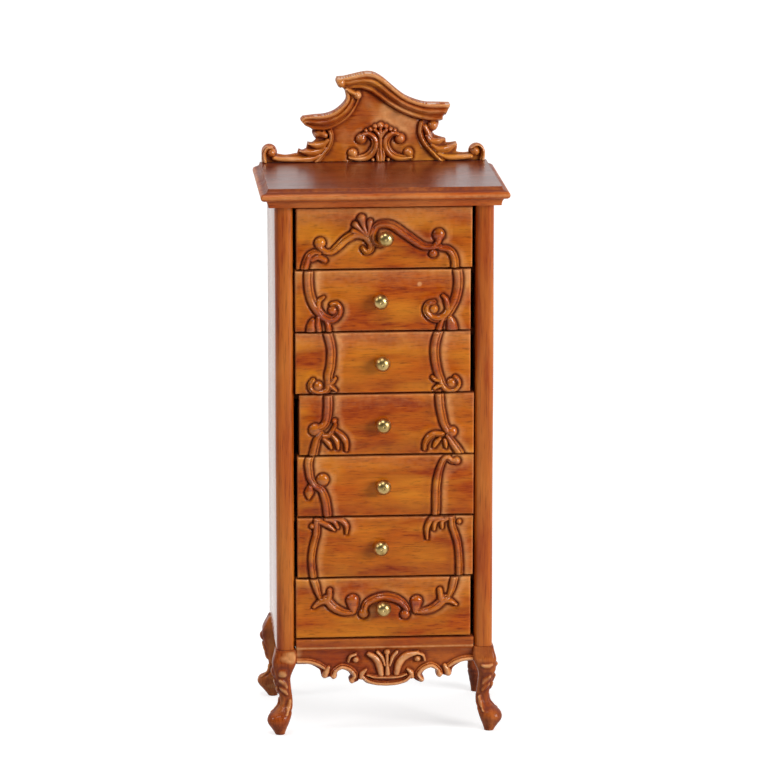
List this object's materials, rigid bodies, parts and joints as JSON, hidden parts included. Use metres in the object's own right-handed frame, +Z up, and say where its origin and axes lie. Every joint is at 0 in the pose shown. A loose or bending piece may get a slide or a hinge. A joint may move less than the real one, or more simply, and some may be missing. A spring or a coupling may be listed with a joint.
{
  "type": "miniature chest of drawers",
  "caption": "Tall dolls' house chest of drawers with a carved crest, moulded top, scroll-carved sliding drawers with brass knobs, shaped apron and cabriole legs.",
  "frame": {"origin": "on the floor under the middle of the top board", "axes": "+Z up, the drawer fronts face -Y, +X to the right seen from the front"},
  "size_m": [0.0536, 0.038, 0.1418],
  "materials": {
    "carved_wood": "carved, stained and varnished",
    "top_wood": "stained and polished",
    "bare_wood": "bare, lightly sanded",
    "brass": "turned and polished"
  },
  "bodies": {
    "case": {"top_board": "top_wood", "cornice_board": "carved_wood", "crest_board": "carved_wood", "left_side_board": "carved_wood", "right_side_board": "carved_wood", "back_panel": "bare_wood", "bottom_board": "bare_wood", "dust_board_1": "bare_wood", "dust_board_2": "bare_wood", "dust_board_3": "bare_wood", "dust_board_4": "bare_wood", "dust_board_5": "bare_wood", "dust_board_6": "bare_wood", "front_apron": "carved_wood", "front_left_leg": "carved_wood", "front_right_leg": "carved_wood", "rear_left_leg": "carved_wood", "rear_right_leg": "carved_wood"},
    "drawer_1": {"drawer_1_front": "carved_wood", "drawer_1_left_side": "bare_wood", "drawer_1_right_side": "bare_wood", "drawer_1_back": "bare_wood", "drawer_1_bottom": "bare_wood", "drawer_1_knob": "brass"},
    "drawer_2": {"drawer_2_front": "carved_wood", "drawer_2_left_side": "bare_wood", "drawer_2_right_side": "bare_wood", "drawer_2_back": "bare_wood", "drawer_2_bottom": "bare_wood", "drawer_2_knob": "brass"},
    "drawer_3": {"drawer_3_front": "carved_wood", "drawer_3_left_side": "bare_wood", "drawer_3_right_side": "bare_wood", "drawer_3_back": "bare_wood", "drawer_3_bottom": "bare_wood", "drawer_3_knob": "brass"},
    "drawer_4": {"drawer_4_front": "carved_wood", "drawer_4_left_side": "bare_wood", "drawer_4_right_side": "bare_wood", "drawer_4_back": "bare_wood", "drawer_4_bottom": "bare_wood", "drawer_4_knob": "brass"},
    "drawer_5": {"drawer_5_front": "carved_wood", "drawer_5_left_side": "bare_wood", "drawer_5_right_side": "bare_wood", "drawer_5_back": "bare_wood", "drawer_5_bottom": "bare_wood", "drawer_5_knob": "brass"},
    "drawer_6": {"drawer_6_front": "carved_wood", "drawer_6_left_side": "bare_wood", "drawer_6_right_side": "bare_wood", "drawer_6_back": "bare_wood", "drawer_6_bottom": "bare_wood", "drawer_6_knob": "brass"},
    "drawer_7": {"drawer_7_front": "carved_wood", "drawer_7_left_side": "bare_wood", "drawer_7_right_side": "bare_wood", "drawer_7_back": "bare_wood", "drawer_7_bottom": "bare_wood", "drawer_7_knob": "brass"}
  },
  "joints": [
    {"name": "drawer_1_slide", "type": "slide", "parent": "case", "child": "drawer_1", "axis": [0, -1, 0], "range_m": [0, 0.022]},
    {"name": "drawer_2_slide", "type": "slide", "parent": "case", "child": "drawer_2", "axis": [0, -1, 0], "range_m": [0, 0.022]},
    {"name": "drawer_3_slide", "type": "slide", "parent": "case", "child": "drawer_3", "axis": [0, -1, 0], "range_m": [0, 0.022]},
    {"name": "drawer_4_slide", "type": "slide", "parent": "case", "child": "drawer_4", "axis": [0, -1, 0], "range_m": [0, 0.022]},
    {"name": "drawer_5_slide", "type": "slide", "parent": "case", "child": "drawer_5", "axis": [0, -1, 0], "range_m": [0, 0.022]},
    {"name": "drawer_6_slide", "type": "slide", "parent": "case", "child": "drawer_6", "axis": [0, -1, 0], "range_m": [0, 0.022]},
    {"name": "drawer_7_slide", "type": "slide", "parent": "case", "child": "drawer_7", "axis": [0, -1, 0], "range_m": [0, 0.022]}
  ]
}
